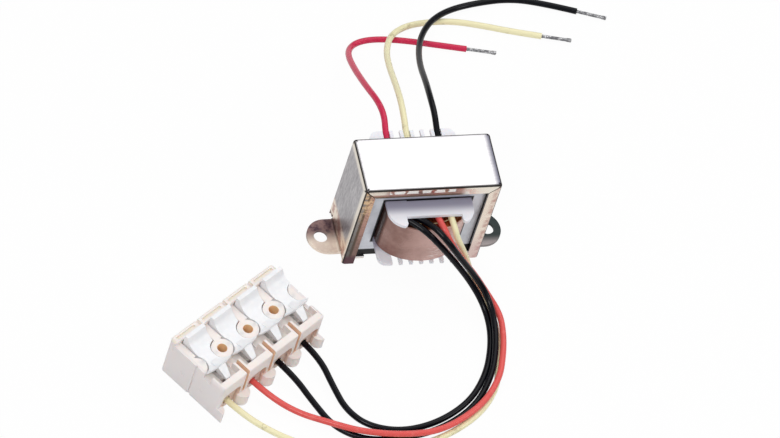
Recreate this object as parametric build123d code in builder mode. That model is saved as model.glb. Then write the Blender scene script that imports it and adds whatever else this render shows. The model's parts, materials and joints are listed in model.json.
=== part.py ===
"""Speaker line transformer: a clamped core and coil, seven flying leads and a lever terminal block."""

import os
from math import cos, pi, radians, sin, sqrt, tan

from build123d import *

os.makedirs("parts", exist_ok=True)

# Core laminations, in millimetres
lamination_width = 42.0
lamination_height = 35.0
centre_leg = 14.0
outer_leg = 7.0
stack_depth = 17.0
core_lift = 2.3

# Folded channel frame
sheet = 1.0
core_play = 0.1
lip_gap = 0.75
lip_width = 3.75
bend_radius = 1.1
mitre_slit = 0.3
ear_width = 12.7
ear_reach = 9.3
ear_bend = 0.6
ear_hole_radius = 2.2
ear_hole_out = 4.9
tab_reach = 6.0
tab_play = 0.05
relief_slit = 0.6
relief_height = 3.0

# Moulded bobbin
bobbin_play = 0.2
bobbin_end_play = 0.1
bobbin_wall = 1.0
flange_thickness = 1.2
flange_depth = 36.4
notch_corner = 6.0
notch_width = 17.9
notch_depth = 3.7
notch_shift = 0.7
horn_round = 1.0
slot_corner = 2.6
slot_count = 6
slot_pitch = 3.32
slot_play = 0.2
slot_depth = 6.6

# Coil, from the outer tape inwards
coil_side_gap = 0.5
coil_bulge = 9.3
coil_end_gap = 0.1
lead_room = 0.5
layer_gap = 0.05
tape_thickness = 0.5
secondary_build = 2.0
insulation_thickness = 0.3

# Insulated leads with tinned ends
lead_diameter = 2.0
arc_share = 0.45
tip_diameter = 1.15
tip_length = 9.6
bare_diameter = 1.1
bare_start = -8.7
bare_length = 6.2

# Terminal block housing, laid on the floor beside the transformer
block_turn = 34.7
block_x = -61.7
block_y = -42.6
pole_count = 4
pole_pitch = 11.6
end_trim = 0.2
front_y = -11.6
rear_y = 12.0
front_frame_depth = 5.7
front_wall = 2.4
ledge_depth = 2.7
deck_height = 11.9
bay_depth = 2.5
ledge_rise = 1.6
end_corner = 1.2
soft_edge = 0.5
cavity_width = 8.6
floor_height = 1.6
rib_rear = 5.0
rib_front = -1.0
rib_height = 4.0
boss_radius = 3.5
screw_hole_radius = 1.6
recess_width = 8.4
recess_height = 9.4
recess_depth = 1.3
recess_corner = 2.0
entry_radius = 1.5
entry_height = 3.4
lug_radius = 2.4
lug_height = 4.4
groove_width = 1.4
groove_drop = 0.9
groove_depth = 1.2
divider_width = 2.8
divider_front = 3.0
divider_root = 0.4
shelf_drop = 0.4
shelf_thickness = 0.6
shelf_rear = -1.0
nose_slot = 3.0
ledge_notch_depth = 1.2
ledge_channel_length = 8.2
ledge_channel_width = 0.9
ledge_channel_depth = 0.5
seam_width = 0.8
seam_depth = 0.4
dimple_radius = 0.9
dimple_depth = 0.2
dimple_spread = 4.0
dimple_height = 6.5

# Release levers and their pivots
pivot_rise = 1.5
pivot_radius = 0.9
pivot_play = 0.06
pivot_end_play = 0.1
pivot_reach = 3.5
lever_side_gap = 0.9
lever_boss_gap = 0.35
lever_deck_gap = 0.5
lever_rear_gap = 0.3
lever_rise = 0.3
tab_rise = 3.3
tab_gap = 0.4
tab_crest = 1.3
scoop_run = 4.3
scoop_hollow = 0.8
beak_start = -1.6
beak_gap = 0.9
beak_rise = 1.9
beak_edge = 1.1
beak_hollow = 0.45
beak_side = -3.4
beak_bow = 1.7
heel_y = -1.4
shell_wall = 1.2
tab_roof = 1.8
nose_root = 3.6
nose_point = 1.2
nose_play = 0.1
nose_gap = 0.6
nose_tip = 1.0
nose_drop = 0.4

# Contact rail and cage spring inside each pole
rail_rear_gap = 0.7
rail_front_gap = 0.8
rail_width = 4.0
rail_neck = 2.4
rail_thickness = 0.8
spring_width = 4.2
spring_thickness = 0.4
spring_rear = 6.0
spring_drop = 1.5
spring_front = -7.0
spring_bend = 0.9
spring_foot_gap = 0.3
window_width = 2.8
window_bottom = 2.7
window_top = 7.5

# Sizes that follow from the core
window_outer = lamination_width / 2 - outer_leg
core_top = core_lift + lamination_height
window_bottom_z = core_lift + outer_leg
window_top_z = core_top - outer_leg
frame_width = lamination_width + 2 * (core_play + sheet)
frame_depth = stack_depth + 2 * (lip_gap + sheet)
frame_top = core_top + sheet
inner_half_width = frame_width / 2 - sheet
inner_half_depth = frame_depth / 2 - sheet
ear_hole_x = frame_width / 2 + ear_hole_out

# Heights in the terminal block, measured from its deck
rim_height = deck_height + bay_depth
ledge_height = rim_height + ledge_rise
groove_floor = deck_height - groove_drop
pivot_height = deck_height + pivot_rise
lever_top = rim_height + lever_rise
tab_top = lever_top + tab_rise
beak_top = lever_top + beak_rise


def near(value, target):
    """True where two lengths agree to a hundredth of a millimetre."""
    return abs(value - target) < 0.01


def save(piece, name):
    """Label a finished piece and write it as one STEP file."""
    piece.part.label = name
    export_step(piece.part, f"parts/{name}.step")


# Channel frame: one bright sheet folded over the core, with lips, mounting ears and retaining tabs
with BuildPart() as channel_frame:
    with BuildSketch(Plane.XZ):
        with Locations((0, frame_top / 2)):
            Rectangle(frame_width, frame_top)
    extrude(amount=frame_depth / 2, both=True)
    top_edges = channel_frame.faces().sort_by(Axis.Z)[-1].edges()
    corner_edges = channel_frame.edges().filter_by(Axis.Z)
    fillet(top_edges + corner_edges, radius=bend_radius)
    with BuildSketch(Plane.XY):
        Rectangle(2 * inner_half_width, 2 * inner_half_depth)
    extrude(amount=core_top, mode=Mode.SUBTRACT)
    with BuildSketch(Plane.XZ):
        with Locations((0, (frame_top - lip_width) / 2)):
            Rectangle(frame_width - 2 * lip_width, frame_top - lip_width)
    extrude(amount=frame_depth, both=True, mode=Mode.SUBTRACT)
    # Slits where the top lip meets the side lips
    mitre_middle = (bend_radius + lip_width) / 2
    mitre_length = (lip_width - bend_radius + mitre_slit) * sqrt(2)
    with BuildSketch(Plane.XZ):
        for side in (-1, 1):
            with Locations((side * (frame_width / 2 - mitre_middle), frame_top - mitre_middle)):
                Rectangle(mitre_length, mitre_slit, rotation=side * 45)
    extrude(amount=frame_depth, both=True, mode=Mode.SUBTRACT)
    # The foot of each side wall is cut free beside the ear
    tab_top_z = core_lift - tab_play
    tab_outer_y = inner_half_depth - tab_play
    tab_inner_y = ear_width / 2 + relief_slit
    with BuildSketch(Plane.YZ):
        for side in (-1, 1):
            with Locations((side * (ear_width / 2 + inner_half_depth) / 2, (tab_top_z - sheet) / 2)):
                Rectangle(inner_half_depth - ear_width / 2, tab_top_z - sheet)
            with Locations((side * (ear_width + relief_slit) / 2, relief_height / 2)):
                Rectangle(relief_slit, relief_height)
    extrude(amount=frame_width, both=True, mode=Mode.SUBTRACT)
    # Ears turned outwards
    with BuildSketch(Plane.XY):
        SlotOverall(frame_width + 2 * ear_reach, ear_width)
        Rectangle(2 * inner_half_width, ear_width + sheet, mode=Mode.SUBTRACT)
        with Locations((-ear_hole_x, 0), (ear_hole_x, 0)):
            Circle(ear_hole_radius, mode=Mode.SUBTRACT)
    extrude(amount=sheet)
    ear_folds = channel_frame.edges().filter_by(Axis.Y).filter_by(
        lambda e: near(e.center().Z, sheet) and near(abs(e.center().X), frame_width / 2)
    )
    fillet(ear_folds, radius=ear_bend)
    # Tabs turned inwards under the core
    with BuildSketch(Plane.XY.offset(tab_top_z - sheet)):
        for side_x in (-1, 1):
            for side_y in (-1, 1):
                tab_centre_x = side_x * (inner_half_width + sheet / 2 - tab_reach / 2)
                with Locations((tab_centre_x, side_y * (tab_inner_y + tab_outer_y) / 2)):
                    Rectangle(tab_reach + sheet, tab_outer_y - tab_inner_y)
    extrude(amount=sheet)
save(channel_frame, "channel_frame")

# Core: the E laminations stand on their back yoke and the I laminations close their legs
with BuildPart() as e_lamination_stack:
    with BuildSketch(Plane.XZ):
        with Locations((0, (core_lift + window_top_z) / 2)):
            Rectangle(lamination_width, window_top_z - core_lift)
        window_span = window_outer - centre_leg / 2
        for side in (-1, 1):
            window_x = side * (window_outer + centre_leg / 2) / 2
            with Locations((window_x, (window_bottom_z + window_top_z) / 2)):
                Rectangle(window_span, window_top_z - window_bottom_z, mode=Mode.SUBTRACT)
    extrude(amount=stack_depth / 2, both=True)
save(e_lamination_stack, "e_lamination_stack")

with BuildPart() as i_lamination_stack:
    with BuildSketch(Plane.XZ):
        with Locations((0, (window_top_z + core_top) / 2)):
            Rectangle(lamination_width, outer_leg)
    extrude(amount=stack_depth / 2, both=True)
save(i_lamination_stack, "i_lamination_stack")

# Bobbin: a square sleeve on the centre leg between two flanges
sleeve_inner_width = centre_leg + 2 * bobbin_play
sleeve_inner_depth = stack_depth + 2 * bobbin_play
sleeve_width = sleeve_inner_width + 2 * bobbin_wall
sleeve_depth = sleeve_inner_depth + 2 * bobbin_wall
flange_width = 2 * (window_outer - bobbin_play)
bobbin_bottom = window_bottom_z + bobbin_end_play
bobbin_top = window_top_z - bobbin_end_play
slot_width = lead_diameter + slot_play


def flange_outline(front):
    """Flange with a wide notch on its round side and the row of lead slots on its squarer side."""
    RectangleRounded(flange_width, flange_depth, notch_corner)
    with Locations((0, -front * flange_depth / 4)):
        RectangleRounded(flange_width, flange_depth / 2, slot_corner)
    Rectangle(sleeve_inner_width, sleeve_inner_depth, mode=Mode.SUBTRACT)
    with Locations((notch_shift, front * (flange_depth - notch_depth) / 2)):
        Rectangle(notch_width, notch_depth, mode=Mode.SUBTRACT)
    with Locations((0, -front * (flange_depth - slot_depth) / 2)):
        with GridLocations(slot_pitch, 0, slot_count, 1):
            Rectangle(slot_width, slot_depth, mode=Mode.SUBTRACT)


with BuildPart() as bobbin:
    with BuildSketch(Plane.XY.offset(bobbin_bottom)):
        Rectangle(sleeve_width, sleeve_depth)
        Rectangle(sleeve_inner_width, sleeve_inner_depth, mode=Mode.SUBTRACT)
    extrude(amount=bobbin_top - bobbin_bottom)
    with BuildSketch(Plane.XY.offset(bobbin_bottom)):
        flange_outline(1)
    extrude(amount=flange_thickness)
    with BuildSketch(Plane.XY.offset(bobbin_top)):
        flange_outline(-1)
    extrude(amount=-flange_thickness)
    # Rounded horns beside each notch
    horn_edges = bobbin.edges().filter_by(Axis.Z).filter_by(
        lambda e: abs(e.center().Y) > (flange_depth - notch_depth) / 2
        and near(abs(e.center().X - notch_shift), notch_width / 2)
    )
    fillet(horn_edges, radius=horn_round)
save(bobbin, "bobbin")

# Coil: layers round the sleeve, flat along the core legs and bulging at the front and back
coil_bottom = bobbin_bottom + flange_thickness + coil_end_gap
coil_top = bobbin_top - flange_thickness - lead_diameter - lead_room
coil_half_width = window_outer - coil_side_gap


def coil_outline(inset, mode=Mode.ADD):
    """Outline of the coil at a depth below its outer face."""
    half_width = coil_half_width - inset
    Rectangle(2 * half_width, stack_depth, mode=mode)
    with Locations((0, -stack_depth / 2), (0, stack_depth / 2)):
        Ellipse(half_width, coil_bulge - inset, mode=mode)


def wound_layer(name, outer_inset, inner_inset):
    """One closed layer of the coil between two depths."""
    with BuildPart() as layer:
        with BuildSketch(Plane.XY.offset(coil_bottom)):
            coil_outline(outer_inset)
            coil_outline(inner_inset, mode=Mode.SUBTRACT)
        extrude(amount=coil_top - coil_bottom)
    save(layer, name)


secondary_outer = tape_thickness + layer_gap
insulation_outer = secondary_outer + secondary_build + layer_gap
primary_outer = insulation_outer + insulation_thickness + layer_gap
wound_layer("outer_tape", 0, tape_thickness)
wound_layer("secondary_winding", secondary_outer, secondary_outer + secondary_build)
wound_layer("interlayer_insulation", insulation_outer, insulation_outer + insulation_thickness)

with BuildPart() as primary_winding:
    with BuildSketch(Plane.XY.offset(coil_bottom)):
        coil_outline(primary_outer)
        Rectangle(sleeve_width + 2 * layer_gap, sleeve_depth + 2 * layer_gap, mode=Mode.SUBTRACT)
    extrude(amount=coil_top - coil_bottom)
save(primary_winding, "primary_winding")

# Leads: routes chosen by hand, from the coil to the tinned ends or the terminal block
rear_red_route = [
    (-8.3, 11.9, 27.9), (-8.3, 17.6, 29.6), (-7.7, 23.6, 30.8), (-8.0, 30.4, 29.2), (-8.6, 40.3, 23.5),
    (-7.7, 54.0, 14.0), (-5.6, 66.2, 5.0), (-2.3, 72.2, 1.2), (2.1, 74.1, 1.0), (8.3, 74.3, 1.0),
    (16.5, 73.1, 1.0), (25.8, 71.0, 1.0), (34.8, 69.0, 1.0),
]
rear_yellow_route = [
    (-1.7, 11.9, 27.9), (-1.7, 17.6, 29.7), (-1.6, 23.6, 31.2), (-0.9, 30.8, 29.8), (0.8, 40.6, 24.0),
    (3.0, 52.8, 16.0), (5.8, 63.9, 8.8), (9.9, 72.9, 4.6), (16.2, 78.3, 1.6), (23.1, 80.0, 1.0),
    (32.3, 80.1, 1.0), (42.2, 77.7, 1.0), (51.3, 74.9, 1.0), (60.4, 72.7, 1.0),
]
rear_black_route = [
    (8.3, 11.9, 27.9), (8.3, 17.6, 29.8), (8.3, 23.6, 31.6), (8.6, 30.2, 30.4), (10.2, 39.8, 25.5),
    (12.3, 51.2, 18.0), (15.5, 62.3, 11.4), (19.4, 71.2, 7.2), (24.6, 78.2, 4.8), (32.3, 84.0, 1.8),
    (42.1, 86.7, 1.0), (53.3, 87.7, 1.0), (63.9, 85.3, 1.0), (74.0, 81.7, 1.0),
]
front_black_right_route = [
    (-9.6, -12.6, 27.9), (-5.9, -15.2, 27.9), (-2.0, -18.9, 27.4), (2.6, -21.6, 23.6), (8.4, -23.0, 16.6),
    (14.2, -25.2, 9.4), (18.6, -29.2, 3.6), (20.2, -36.4, 1.0), (18.6, -45.4, 1.0), (14.5, -55.3, 1.0),
    (7.1, -64.4, 1.0), (-4.1, -71.2, 1.0), (-16.2, -74.2, 1.0), (-26.6, -71.8, 1.0), (-32.2, -65.4, 1.0),
    (-34.6, -57.6, 1.6), (-37.6, -46.8, 3.4), (-42.4, -39.9, 3.4),
]
front_black_left_route = [
    (-6.4, -12.0, 27.9), (-2.7, -14.5, 27.9), (1.0, -18.6, 28.6), (4.8, -23.0, 26.9), (10.4, -24.3, 19.8),
    (15.9, -25.3, 12.5), (20.2, -28.2, 6.4), (21.4, -35.8, 3.0), (19.9, -45.7, 2.9), (16.6, -56.2, 1.8),
    (8.6, -66.4, 1.0), (-3.0, -73.8, 1.0), (-16.4, -77.6, 1.0), (-28.6, -77.0, 1.0), (-37.4, -71.6, 1.0),
    (-42.4, -62.2, 1.6), (-47.1, -53.4, 3.4), (-51.9, -46.5, 3.4),
]
front_red_route = [
    (2.2, -11.4, 27.9), (2.7, -14.8, 27.9), (3.7, -18.2, 27.6), (5.4, -20.9, 25.0), (8.4, -22.0, 20.4),
    (12.5, -22.7, 15.1), (17.2, -23.2, 9.5), (22.0, -25.8, 4.0), (24.6, -33.4, 1.0), (24.4, -41.6, 1.6),
    (21.8, -49.6, 3.5),
    (17.2, -57.6, 3.5), (8.6, -66.4, 3.2), (-3.6, -73.6, 3.2), (-16.4, -76.4, 3.2), (-29.2, -75.4, 3.2),
    (-39.0, -71.4, 3.2), (-48.2, -65.8, 1.4), (-56.7, -60.0, 3.4), (-61.5, -53.1, 3.4),
]
front_yellow_route = [
    (6.4, -11.6, 27.9), (6.8, -14.6, 27.9), (7.2, -17.8, 27.3), (8.2, -19.9, 24.6), (10.4, -20.3, 20.4),
    (13.4, -20.2, 14.2), (16.2, -21.2, 8.0), (19.4, -24.6, 3.2), (22.3, -32.6, 1.0), (21.6, -41.8, 1.0),
    (19.9, -51.4, 1.0),
    (17.8, -60.8, 1.0), (10.4, -70.0, 1.0), (-2.6, -77.6, 1.0), (-17.4, -81.4, 1.0), (-32.6, -81.8, 1.0),
    (-47.0, -78.4, 1.0), (-57.4, -72.8, 1.6), (-66.2, -66.6, 3.4), (-71.0, -59.7, 3.4),
]


def lead_radii(route):
    """The largest arc that the two runs at each corner of a route leave room for."""
    points = [Vector(*point) for point in route]
    arcs = []
    for before, corner, after in zip(points, points[1:], points[2:]):
        run_in = corner - before
        run_out = after - corner
        half_turn = radians(run_in.get_angle(run_out)) / 2
        arcs.append(arc_share * min(run_in.length, run_out.length) / tan(half_turn))
    return arcs


def make_lead(name, route):
    """Sweep one insulated lead along its route and return its path."""
    arcs = lead_radii(route)
    with BuildPart() as lead:
        with BuildLine() as path:
            FilletPolyline(*route, radius=arcs)
        with BuildSketch(Plane(origin=path.wire() @ 0, z_dir=path.wire() % 0)):
            Circle(lead_diameter / 2)
        sweep()
    save(lead, name)
    length = path.wire().length
    expected = pi * lead_diameter**2 / 4 * length
    print(name, "length", round(length, 1), "volume ratio", round(lead.part.volume / expected, 4))
    print("  radii", [round(arc, 1) for arc in arcs])
    return path.wire()


def make_tip(name, path):
    """Tinned strands that carry on from the end of a lead."""
    with BuildPart() as tip:
        with BuildSketch(Plane(origin=path @ 1, z_dir=path % 1)):
            Circle(tip_diameter / 2)
        extrude(amount=tip_length)
        end_face = tip.faces().sort_by(Axis(path @ 1, path % 1))[-1]
        fillet(end_face.edges(), radius=tip_diameter / 4)
    save(tip, name)


rear_routes = {"rear_red": rear_red_route, "rear_yellow": rear_yellow_route, "rear_black": rear_black_route}
for lead_name, lead_route in rear_routes.items():
    lead_path = make_lead(f"{lead_name}_lead", lead_route)
    make_tip(f"{lead_name}_tip", lead_path)

make_lead("front_yellow_lead", front_yellow_route)
make_lead("front_red_lead", front_red_route)
make_lead("front_black_left_lead", front_black_left_route)
make_lead("front_black_right_lead", front_black_right_route)

# Terminal block places: x runs along the row of poles, y towards the rear, z up
block_direction = (cos(radians(block_turn)), sin(radians(block_turn)), 0)
block = Plane(origin=(block_x, block_y, 0), x_dir=block_direction, z_dir=(0, 0, 1))
pole_places = [(index - (pole_count - 1) / 2) * pole_pitch for index in range(pole_count)]
boundary_places = [(index - pole_count / 2) * pole_pitch for index in range(pole_count + 1)]
block_length = pole_count * pole_pitch - 2 * end_trim
frame_rear_y = front_y + front_frame_depth
cavity_front_y = front_y + front_wall
ledge_y = rear_y - ledge_depth


def side_view(x):
    """Plane across the block at one place along it: its x points to the rear and its y up."""
    return Plane(origin=block.from_local_coords((x, 0, 0)), x_dir=block.y_dir, z_dir=block.x_dir)


def front_view(y):
    """Plane that faces the front of the block at one depth: its x runs along the poles and its y up."""
    return Plane(origin=block.from_local_coords((0, y, 0)), x_dir=block.x_dir, z_dir=-block.y_dir)


# Housing: one moulding with a bay for the levers, a cell for each contact and screw bosses between
with BuildPart() as terminal_housing:
    with BuildSketch(side_view(0)):
        with BuildLine():
            Polyline(
                (front_y, 0), (rear_y, 0), (rear_y, ledge_height), (ledge_y, ledge_height),
                (ledge_y, deck_height), (frame_rear_y, deck_height), (frame_rear_y, rim_height),
                (front_y, rim_height), close=True,
            )
        make_face()
    extrude(amount=block_length / 2, both=True)
    long_edges = terminal_housing.edges().filter_by(Axis(block.origin, block.x_dir)).group_by(Axis.Z)
    fillet(long_edges[-1] + long_edges[-2], radius=soft_edge)
    upright_rows = terminal_housing.edges().filter_by(Axis.Z).group_by(Axis(block.origin, block.y_dir))
    fillet(upright_rows[0] + upright_rows[-1], radius=end_corner)
    # Recess at the foot of each front face
    with BuildSketch(front_view(front_y)):
        with Locations(*[(x, 0) for x in pole_places]):
            RectangleRounded(recess_width, 2 * recess_height, recess_corner)
    extrude(amount=-recess_depth, mode=Mode.SUBTRACT)
    # Lugs at the foot and screw bosses on the deck, trimmed to the ends of the block
    with BuildSketch(block):
        with Locations(*[(x, front_y) for x in boundary_places]):
            Circle(lug_radius)
        Rectangle(block_length, 2 * (lug_radius - front_y), mode=Mode.INTERSECT)
    extrude(amount=lug_height)
    with BuildSketch(block.offset(deck_height)):
        with Locations(*[(x, 0) for x in boundary_places]):
            Circle(boss_radius)
        # Dividers between the thumb tabs
        divider_length = ledge_y + divider_root - divider_front
        divider_y = divider_front + divider_length / 2
        with Locations(*[(x + divider_width / 2, divider_y) for x in boundary_places[:-1]]):
            Rectangle(divider_width, divider_length)
        Rectangle(block_length, 2 * rear_y, mode=Mode.INTERSECT)
    extrude(amount=bay_depth)
    # Contact cells, which leave the screw columns standing, and the pocket in each front frame
    with BuildSketch(block.offset(floor_height)):
        with Locations(*[(x, (cavity_front_y + ledge_y) / 2) for x in pole_places]):
            Rectangle(cavity_width, ledge_y - cavity_front_y)
        with Locations(*[(x, 0) for x in boundary_places]):
            Circle(boss_radius, mode=Mode.SUBTRACT)
    extrude(amount=deck_height - floor_height, mode=Mode.SUBTRACT)
    with BuildSketch(block.offset(deck_height)):
        with Locations(*[(x, (cavity_front_y + frame_rear_y) / 2) for x in pole_places]):
            Rectangle(cavity_width, frame_rear_y - cavity_front_y)
    extrude(amount=bay_depth, mode=Mode.SUBTRACT)
    with BuildSketch(block.offset(floor_height)):
        with Locations(*[(x, (rib_front + rib_rear) / 2) for x in pole_places]):
            Rectangle(cavity_width, rib_rear - rib_front)
    extrude(amount=rib_height - floor_height)
    # Shelves beside the slot of each nose
    with BuildSketch(block.offset(deck_height - shelf_drop)):
        with Locations(*[(x, (cavity_front_y + shelf_rear) / 2) for x in pole_places]):
            Rectangle(cavity_width, shelf_rear - cavity_front_y)
            Rectangle(nose_slot, shelf_rear - cavity_front_y, mode=Mode.SUBTRACT)
    extrude(amount=-shelf_thickness)
    # Screw holes between the poles
    with BuildSketch(block):
        with Locations(*[(x, 0) for x in boundary_places[1:-1]]):
            Circle(screw_hole_radius)
    extrude(amount=rim_height, mode=Mode.SUBTRACT)
    # Blind pivot holes in the bosses on both sides of each pole
    for pole_x in pole_places:
        with BuildSketch(side_view(pole_x)):
            with Locations((0, pivot_height)):
                Circle(pivot_radius + pivot_play)
        extrude(amount=pivot_reach + pivot_end_play, both=True, mode=Mode.SUBTRACT)
    # Wire entries at the front and rear
    with BuildSketch(front_view(front_y)):
        with Locations(*[(x, entry_height) for x in pole_places]):
            Circle(entry_radius)
    extrude(amount=-front_wall, mode=Mode.SUBTRACT)
    with BuildSketch(front_view(rear_y)):
        with Locations(*[(x, entry_height) for x in pole_places]):
            Circle(entry_radius)
    extrude(amount=ledge_depth, mode=Mode.SUBTRACT)
    # Grooves that part the front frames and notches that part the rear ledge
    for boundary_x in boundary_places[1:-1]:
        with BuildSketch(side_view(boundary_x)):
            with Locations((front_y + front_frame_depth / 2, (groove_floor + rim_height) / 2)):
                Rectangle(front_frame_depth, rim_height - groove_floor)
            with Locations((front_y + groove_depth / 2, (lug_height + rim_height) / 2)):
                Rectangle(groove_depth, rim_height - lug_height)
            with Locations((rear_y - ledge_depth / 2, ledge_height - ledge_notch_depth / 2)):
                Rectangle(ledge_depth, ledge_notch_depth)
        extrude(amount=groove_width / 2, both=True, mode=Mode.SUBTRACT)
    # Shallow channel along the ledge of each pole
    with BuildSketch(block.offset(ledge_height)):
        with Locations(*[(x, rear_y - ledge_depth / 2) for x in pole_places]):
            SlotOverall(ledge_channel_length, ledge_channel_width)
    extrude(amount=-ledge_channel_depth, mode=Mode.SUBTRACT)
    # Moulding seam down the middle of both ends
    with BuildSketch(block):
        with Locations((-block_length / 2, 0), (block_length / 2, 0)):
            Rectangle(2 * seam_depth, seam_width)
    extrude(amount=rim_height, mode=Mode.SUBTRACT)
    # Ejector dimples on both sides of the seam
    for end in (-1, 1):
        with BuildSketch(side_view(end * block_length / 2)):
            with Locations((-dimple_spread, dimple_height), (dimple_spread, dimple_height)):
                Circle(dimple_radius)
        extrude(amount=dimple_depth, both=True, mode=Mode.SUBTRACT)
save(terminal_housing, "terminal_housing")

# Levers: a scooped thumb tab at the rear, a beak at the front and a nose that opens the spring
lever_width = pole_pitch - lever_side_gap
lever_rear = ledge_y - lever_rear_gap
lever_bottom = deck_height + lever_deck_gap
tab_step = divider_width + tab_gap - lever_side_gap / 2
beak_y = frame_rear_y + beak_gap
beak_corner = (lever_width - nose_root) / 2 - nose_play
tab_front = lever_rear - tab_crest
scoop_end = tab_front - scoop_run
hollow_rear = lever_rear - shell_wall
hollow_front = scoop_end + shell_wall
hollow_high = tab_top - tab_roof
hollow_low = lever_top - shell_wall
nose_front = cavity_front_y + nose_gap
nose_low = lever_bottom - nose_drop


def make_lever(name, pole_x):
    """One release lever, seen from the side and cut round the bosses that carry it."""
    with BuildPart() as lever:
        # Nose that reaches into the contact cell, narrow at its tip
        with BuildSketch(side_view(pole_x)):
            with BuildLine():
                Polyline(
                    (heel_y, lever_bottom), (heel_y, lever_top), (beak_y, beak_top - beak_edge / 2),
                    (nose_front, pivot_height), (nose_front, lever_bottom), (nose_front + nose_tip, nose_low),
                    close=True,
                )
            make_face()
        extrude(amount=nose_root / 2, both=True)
        with BuildSketch(front_view(nose_front)):
            for side in (-1, 1):
                outer_x = pole_x + side * nose_root
                with BuildLine():
                    Polyline(
                        (pole_x + side * nose_root / 2, beak_top), (outer_x, beak_top), (outer_x, nose_low),
                        (pole_x + side * nose_point / 2, nose_low), close=True,
                    )
                make_face()
        extrude(amount=nose_front - heel_y, mode=Mode.SUBTRACT)
        # Arm from the thumb tab to the beak
        with BuildSketch(side_view(pole_x)):
            with BuildLine():
                Polyline(
                    (heel_y, lever_bottom), (lever_rear, lever_bottom), (lever_rear, tab_top),
                    (tab_front, tab_top),
                )
                SagittaArc((tab_front, tab_top), (scoop_end, lever_top), scoop_hollow)
                Line((scoop_end, lever_top), (beak_start, lever_top))
                SagittaArc((beak_start, lever_top), (beak_y, beak_top), beak_hollow)
                Polyline((beak_y, beak_top), (beak_y, beak_top - beak_edge), (heel_y, lever_bottom))
            make_face()
        extrude(amount=lever_width / 2, both=True)
        with BuildSketch(block.offset(lever_bottom)):
            with Locations((pole_x - pole_pitch / 2, 0), (pole_x + pole_pitch / 2, 0)):
                Circle(boss_radius + lever_boss_gap)
        extrude(amount=tab_top - lever_bottom, mode=Mode.SUBTRACT)
        # Step beside the divider, and the bowed front edge of the beak
        with BuildSketch(block.offset(lever_bottom)):
            with Locations((pole_x - (lever_width - tab_step) / 2, lever_rear / 2)):
                Rectangle(tab_step, lever_rear)
            for side in (-1, 1):
                with Locations((pole_x + side * (lever_width - beak_corner) / 2, beak_side - beak_bow)):
                    Rectangle(beak_corner, 2 * beak_bow)
            with Locations((pole_x, beak_side)):
                Ellipse(pole_pitch / 2, beak_bow, mode=Mode.SUBTRACT)
        extrude(amount=tab_top - lever_bottom, mode=Mode.SUBTRACT)
        # Hollow behind the thumb tab
        with BuildSketch(side_view(pole_x + tab_step / 2)):
            with BuildLine():
                Polyline(
                    (hollow_front, hollow_low), (hollow_front, lever_bottom), (hollow_rear, lever_bottom),
                    (hollow_rear, hollow_high),
                )
                SagittaArc((hollow_rear, hollow_high), (hollow_front, hollow_low), scoop_hollow / 2)
            make_face()
        extrude(amount=(lever_width - tab_step) / 2 - shell_wall, both=True, mode=Mode.SUBTRACT)
        # Pivot stubs
        with BuildSketch(side_view(pole_x)):
            with Locations((0, pivot_height)):
                Circle(pivot_radius)
        extrude(amount=pivot_reach, both=True)
    save(lever, name)


# Contact rail: a flat brass strip on the rib, with a neck that passes through the spring
rail_rear = ledge_y - rail_rear_gap
rail_front = cavity_front_y + rail_front_gap


def make_rail(name, pole_x):
    """One contact rail, wide over the rib and narrow inside the spring's window."""
    with BuildPart() as rail:
        with BuildSketch(block.offset(rib_height)):
            with Locations((pole_x, (rib_front + rail_rear) / 2)):
                Rectangle(rail_width, rail_rear - rib_front)
            with Locations((pole_x, (rail_front + rib_front) / 2)):
                Rectangle(rail_neck, rib_front - rail_front)
        extrude(amount=rail_thickness)
    save(rail, name)


# Cage spring: a strip that loops up behind the rail and hangs over its neck
spring_low = rib_height + rail_thickness + spring_thickness / 2
spring_high = deck_height - spring_drop
spring_loop = (spring_high - spring_low) / 2
spring_foot = floor_height + spring_foot_gap


def make_spring(name, pole_x):
    """One cage spring with the window that clamps the bare wire against the rail."""
    with BuildPart() as spring:
        with BuildSketch(side_view(pole_x)):
            with BuildLine():
                Line((0, spring_low), (spring_rear, spring_low))
                SagittaArc((spring_rear, spring_low), (spring_rear, spring_high), -spring_loop)
                Line((spring_rear, spring_high), (spring_front + spring_bend, spring_high))
                RadiusArc(
                    (spring_front + spring_bend, spring_high), (spring_front, spring_high - spring_bend),
                    -spring_bend,
                )
                Line((spring_front, spring_high - spring_bend), (spring_front, spring_foot))
            trace(line_width=spring_thickness)
        extrude(amount=spring_width / 2, both=True)
        with BuildSketch(front_view(spring_front)):
            with Locations((pole_x, (window_bottom + window_top) / 2)):
                Rectangle(window_width, window_top - window_bottom)
        extrude(amount=spring_thickness, both=True, mode=Mode.SUBTRACT)
    save(spring, name)


def make_bare_end(name, pole_x):
    """Stripped end of a lead, held under the rail."""
    with BuildPart() as bare_end:
        with BuildSketch(front_view(bare_start)):
            with Locations((pole_x, entry_height)):
                Circle(bare_diameter / 2)
        extrude(amount=-bare_length)
    save(bare_end, name)


bare_end_names = ["yellow_bare_end", "red_bare_end", "black_left_bare_end", "black_right_bare_end"]
for number, pole_x in enumerate(pole_places, start=1):
    make_lever(f"lever_{number}", pole_x)
    make_rail(f"contact_rail_{number}", pole_x)
    make_spring(f"clamp_spring_{number}", pole_x)
    make_bare_end(bare_end_names[number - 1], pole_x)
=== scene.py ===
# %% [markdown]
# # A speaker line transformer
# A small audio transformer: a steel core clamped in a folded bright channel, a coil on a white bobbin, three
# leads with tinned ends at the back, and four leads at the front that go into a lever terminal block. The
# solids come in as a fixed frame, at their real size. This lesson gives them their surfaces, lays the leads
# as smooth curves and twists the bare strands at the lead ends.

# %% Load the solids
import json
import math

import bpy
from mathutils import Matrix, Vector


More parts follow.
